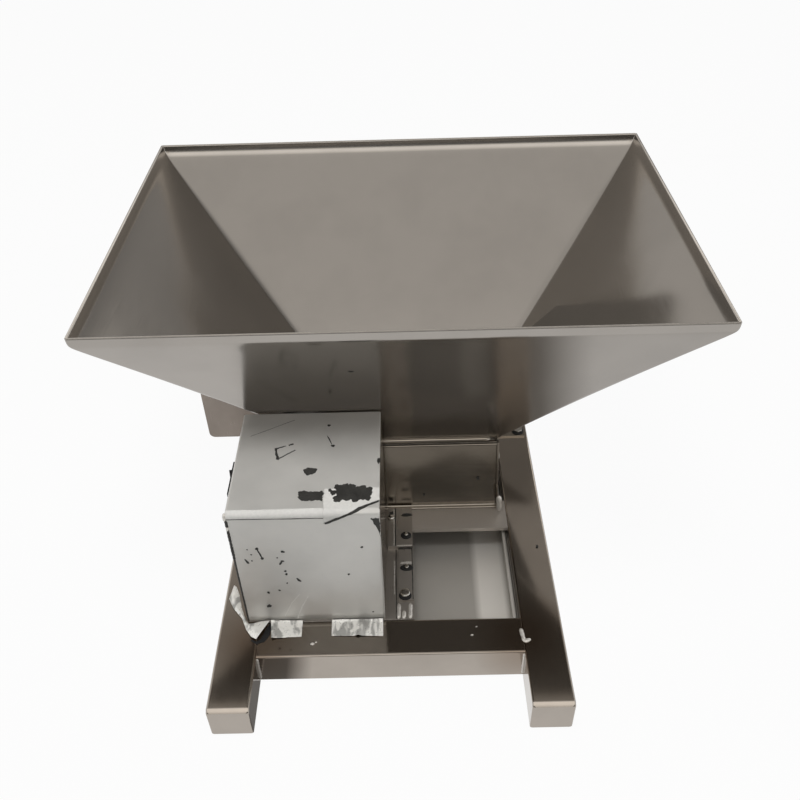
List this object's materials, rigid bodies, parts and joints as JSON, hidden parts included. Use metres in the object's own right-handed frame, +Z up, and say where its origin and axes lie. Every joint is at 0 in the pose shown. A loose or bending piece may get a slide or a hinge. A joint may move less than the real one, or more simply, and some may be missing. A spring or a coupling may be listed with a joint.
{
  "type": "bread crumb machine",
  "caption": "Countertop bread crumb grinder: wide pyramid hopper over a toothed drum, belt drive under a box cover, tube base and sliding crumb drawer.",
  "frame": {"origin": "on the ground, in the middle of the machine's outline", "axes": "+Z up, +X to the right seen from the front legs, +Y from the front legs towards the hopper"},
  "size_m": [0.575, 0.574, 0.337],
  "materials": {
    "tube_steel": "satin brushed stainless tube",
    "bar_steel": "satin stainless bar",
    "hopper_sheet": "satin brushed stainless sheet",
    "chamber_sheet": "cold rolled stainless sheet",
    "drawer_sheet": "bright rolled stainless sheet",
    "turned_steel": "turned steel",
    "cast_hub": "grey cast iron",
    "fastener_steel": "bright zinc plated steel",
    "belt_rubber": "moulded rubber",
    "motor_paint": "grey enamel",
    "winding_copper": "varnished copper winding",
    "filmed_sheet": "steel sheet under grey protective film",
    "box_sheet": "grey coated sheet",
    "black_plastic": "moulded black plastic"
  },
  "bodies": {
    "frame": {"left_beam": "tube_steel", "right_beam": "tube_steel", "front_cross_tube": "tube_steel", "middle_cross_bar": "bar_steel", "rear_cross_bar": "bar_steel", "beam_end_caps": "tube_steel", "motor_base_plate": "bar_steel", "mounting_rail": "bar_steel", "clamp_plate": "bar_steel", "stop_plate": "bar_steel", "rail_bolts": "fastener_steel", "hopper_front_wall": "hopper_sheet", "hopper_rear_wall": "hopper_sheet", "hopper_left_wall": "hopper_sheet", "hopper_right_wall": "hopper_sheet", "hopper_bolts": "fastener_steel", "left_side_plate": "chamber_sheet", "right_side_plate": "chamber_sheet", "front_panel": "chamber_sheet", "rear_panel": "chamber_sheet", "foot_bolts": "fastener_steel", "crumb_screen": "chamber_sheet", "shear_comb": "turned_steel", "left_bearing_hub": "cast_hub", "right_bearing_hub": "cast_hub", "drum_bearings": "turned_steel", "hub_bolts": "fastener_steel", "drive_belt": "belt_rubber", "motor_stator": "winding_copper", "motor_housing": "motor_paint", "motor_end_bells": "motor_paint", "motor_cradle": "bar_steel", "motor_bolts": "fastener_steel", "belt_guard": "chamber_sheet", "control_box": "box_sheet", "control_box_lid": "box_sheet", "capacitor": "black_plastic", "cable_gland": "black_plastic", "motor_cover": "filmed_sheet", "switch_housing": "black_plastic", "left_runner": "bar_steel", "right_runner": "bar_steel"},
    "drum": {"drum_shaft": "turned_steel", "toothed_discs": "turned_steel", "spacer_rings": "turned_steel", "drum_pulley": "cast_hub"},
    "armature": {"motor_shaft": "turned_steel", "motor_rotor": "cast_hub", "motor_pulley": "cast_hub"},
    "rocker": {"switch_rocker": "black_plastic"},
    "drawer": {"crumb_tray": "drawer_sheet", "tray_pull": "drawer_sheet"}
  },
  "joints": [
    {"name": "drum_spin", "type": "hinge", "parent": "frame", "child": "drum", "pos_m": [0, 0.034, 0.08], "axis": [1, 0, 0], "continuous": true},
    {"name": "motor_spin", "type": "hinge", "parent": "frame", "child": "armature", "pos_m": [0, -0.12182, 0.108], "axis": [1, 0, 0], "continuous": true},
    {"name": "switch_rock", "type": "hinge", "parent": "frame", "child": "rocker", "pos_m": [-0.1585, -0.1395, 0.181], "axis": [0, 0, 1], "range_deg": [-14, 0]},
    {"name": "drawer_slide", "type": "slide", "parent": "frame", "child": "drawer", "axis": [0, 1, 0], "range_m": [0, 0.28]}
  ],
  "couplings": [
    {"joint": "motor_spin", "follows": "drum_spin", "ratio": 1.5}
  ]
}
